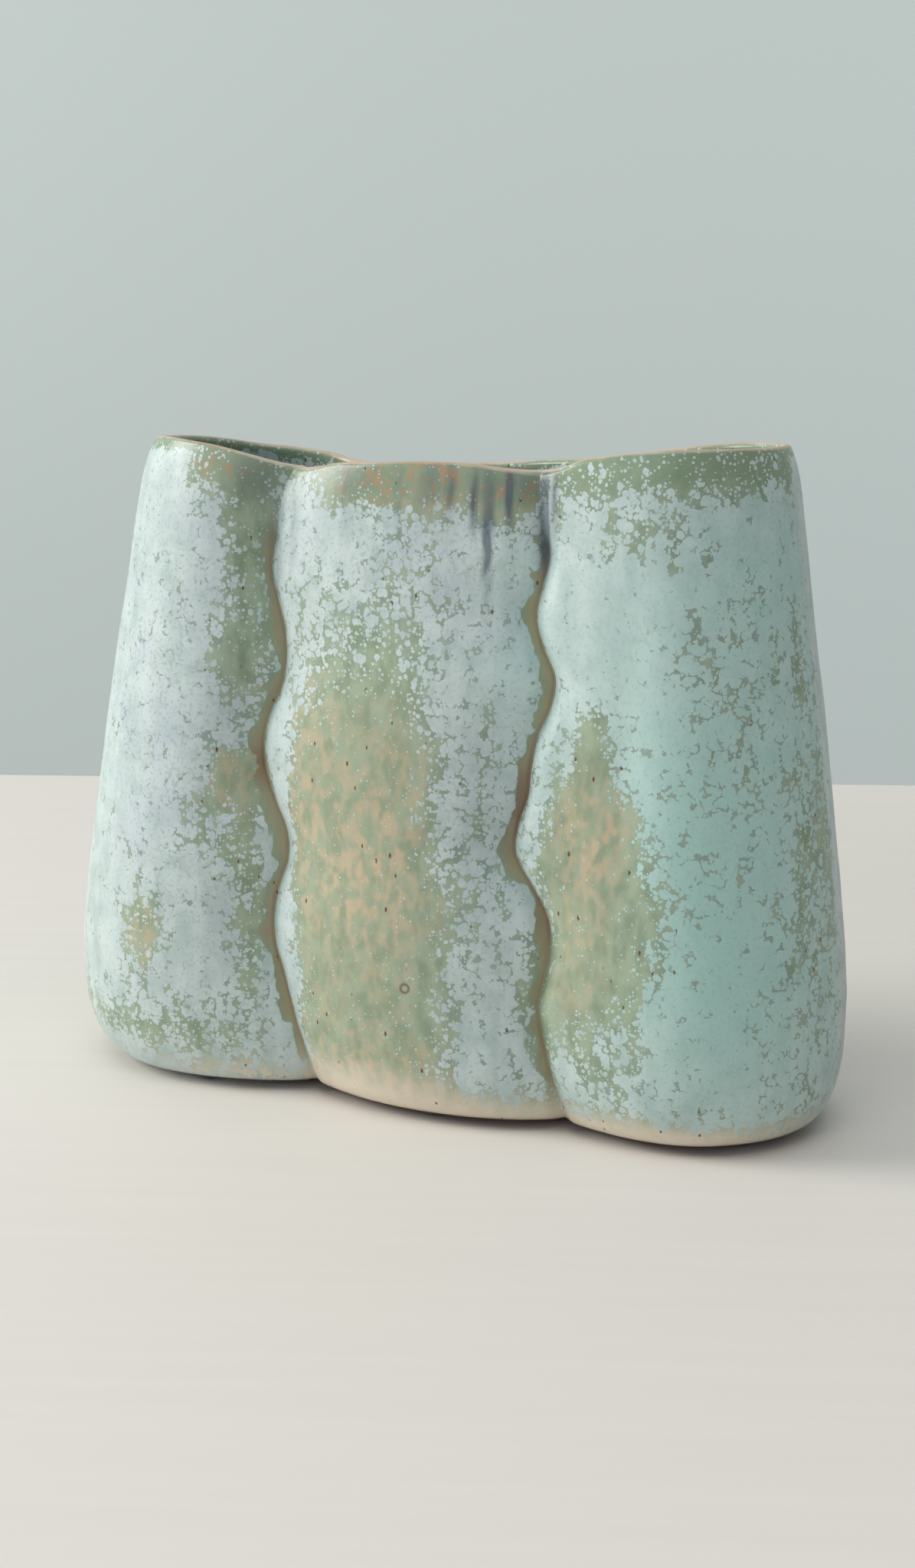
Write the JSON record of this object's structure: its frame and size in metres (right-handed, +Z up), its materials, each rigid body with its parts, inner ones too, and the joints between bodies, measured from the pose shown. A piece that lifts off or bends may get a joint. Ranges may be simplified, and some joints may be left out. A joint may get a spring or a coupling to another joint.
{
  "type": "fan vase",
  "caption": "Flattened hand-built pottery vase of three merging lobes with a wavy open rim, standing on clear bumpers.",
  "frame": {"origin": "middle of the bounding box, on the table", "axes": "+Z up, +X along the vase to the right, -Y to the front"},
  "size_m": [0.2471, 0.097, 0.1957],
  "materials": {
    "glazed_clay": "satin, pale blue crystalline glaze over green and tan",
    "clear_bumper": "clear polyurethane"
  },
  "bodies": {
    "root": {"floor_slab": "glazed_clay", "left_lobe_wall": "glazed_clay", "right_lobe_wall": "glazed_clay", "centre_front_wall": "glazed_clay", "centre_back_wall": "glazed_clay", "bumper_front_left": "clear_bumper", "bumper_front_centre": "clear_bumper", "bumper_front_right": "clear_bumper", "bumper_back_left": "clear_bumper", "bumper_back_centre": "clear_bumper", "bumper_back_right": "clear_bumper"}
  },
  "joints": []
}
